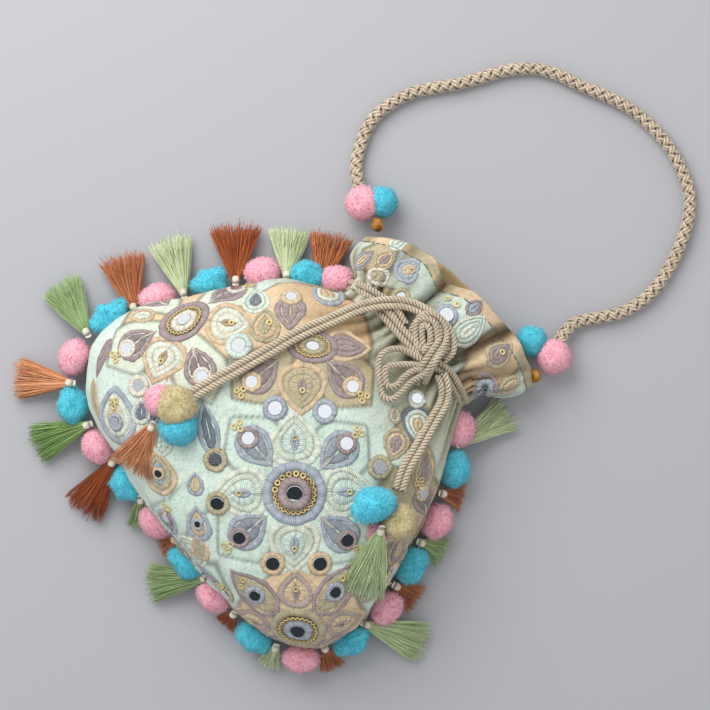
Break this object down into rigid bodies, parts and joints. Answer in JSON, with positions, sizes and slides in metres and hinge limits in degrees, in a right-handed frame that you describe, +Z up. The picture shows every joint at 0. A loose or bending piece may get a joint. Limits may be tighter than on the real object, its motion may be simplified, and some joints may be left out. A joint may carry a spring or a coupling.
{
  "type": "potli bag",
  "caption": "Soft drawstring pouch with a gathered frill, a knotted cord ending in pompoms and tassels, a braided handle, and a pompom and tassel trim round its seam.",
  "frame": {"origin": "where the middle of the pouch's back rests on the table", "axes": "+Z up from the table through the front of the bag, +Y along the bag towards its mouth, +X across it"},
  "size_m": [0.3251, 0.4384, 0.0897],
  "materials": {
    "embroidered_cloth": "mint cloth covered in muted peach, grey, mauve and khaki silk stitching",
    "gold_braid": "round braid of beige and pale gold thread",
    "twisted_cord": "three-ply twisted cord of beige silk and pale gold thread",
    "amber_bead": "glossy amber",
    "pompom_pink": "dense soft cut yarn",
    "pompom_turquoise": "dense soft cut yarn",
    "pompom_olive": "dense soft cut yarn",
    "tassel_rust": "silky cut threads",
    "tassel_green": "silky cut threads",
    "tassel_peach": "silky cut threads",
    "mirror_glass": "small round glass mirrors stitched into the cloth",
    "gold_sequin": "small gold cup sequins and metallic thread",
    "hem_thread": "dark teal stitching along the hem",
    "cream_thread": "cream thread bound round the tassel heads"
  },
  "bodies": {
    "root": {"bag_body": "embroidered_cloth", "drawstring_tail_left": "twisted_cord", "drawstring_tail_right": "twisted_cord", "drawstring_tie": "twisted_cord", "handle_braid": "gold_braid", "handle_left_bead": "amber_bead", "handle_left_pom_pink": "pompom_pink", "handle_left_pom_turquoise": "pompom_turquoise", "handle_right_bead": "amber_bead", "handle_right_pom_pink": "pompom_pink", "handle_right_pom_turquoise": "pompom_turquoise", "seam_pom_01_pink": "pompom_pink", "seam_pom_02_turquoise": "pompom_turquoise", "seam_pom_03_pink": "pompom_pink", "seam_pom_04_turquoise": "pompom_turquoise", "seam_pom_05_pink": "pompom_pink", "seam_pom_06_turquoise": "pompom_turquoise", "seam_pom_07_pink": "pompom_pink", "seam_pom_08_turquoise": "pompom_turquoise", "seam_pom_09_pink": "pompom_pink", "seam_pom_10_turquoise": "pompom_turquoise", "seam_pom_11_pink": "pompom_pink", "seam_pom_12_turquoise": "pompom_turquoise", "seam_pom_13_pink": "pompom_pink", "seam_pom_14_turquoise": "pompom_turquoise", "seam_pom_15_pink": "pompom_pink", "seam_pom_16_turquoise": "pompom_turquoise", "seam_pom_17_pink": "pompom_pink", "seam_pom_18_turquoise": "pompom_turquoise", "seam_pom_19_pink": "pompom_pink", "seam_pom_20_turquoise": "pompom_turquoise", "seam_pom_21_pink": "pompom_pink", "seam_tassel_01_rust": "tassel_rust", "seam_tassel_02_green": "tassel_green", "seam_tassel_03_rust": "tassel_rust", "seam_tassel_04_green": "tassel_green", "seam_tassel_05_rust": "tassel_rust", "seam_tassel_06_green": "tassel_green", "seam_tassel_07_peach": "tassel_peach", "seam_tassel_08_green": "tassel_green", "seam_tassel_09_rust": "tassel_rust", "seam_tassel_10_green": "tassel_green", "seam_tassel_11_rust": "tassel_rust", "seam_tassel_12_green": "tassel_green", "seam_tassel_13_rust": "tassel_rust", "seam_tassel_14_green": "tassel_green", "seam_tassel_15_rust": "tassel_rust", "seam_tassel_16_green": "tassel_green", "seam_tassel_17_rust": "tassel_rust", "seam_tassel_18_green": "tassel_green", "seam_tassel_19_rust": "tassel_rust", "seam_tassel_20_green": "tassel_green", "tail_left_pom_olive": "pompom_olive", "tail_left_pom_pink": "pompom_pink", "tail_left_pom_turquoise": "pompom_turquoise", "tail_left_tassel_peach": "tassel_peach", "tail_right_pom_olive": "pompom_olive", "tail_right_pom_pink": "pompom_pink", "tail_right_pom_turquoise": "pompom_turquoise", "tail_right_tassel_green": "tassel_green"}
  },
  "joints": []
}
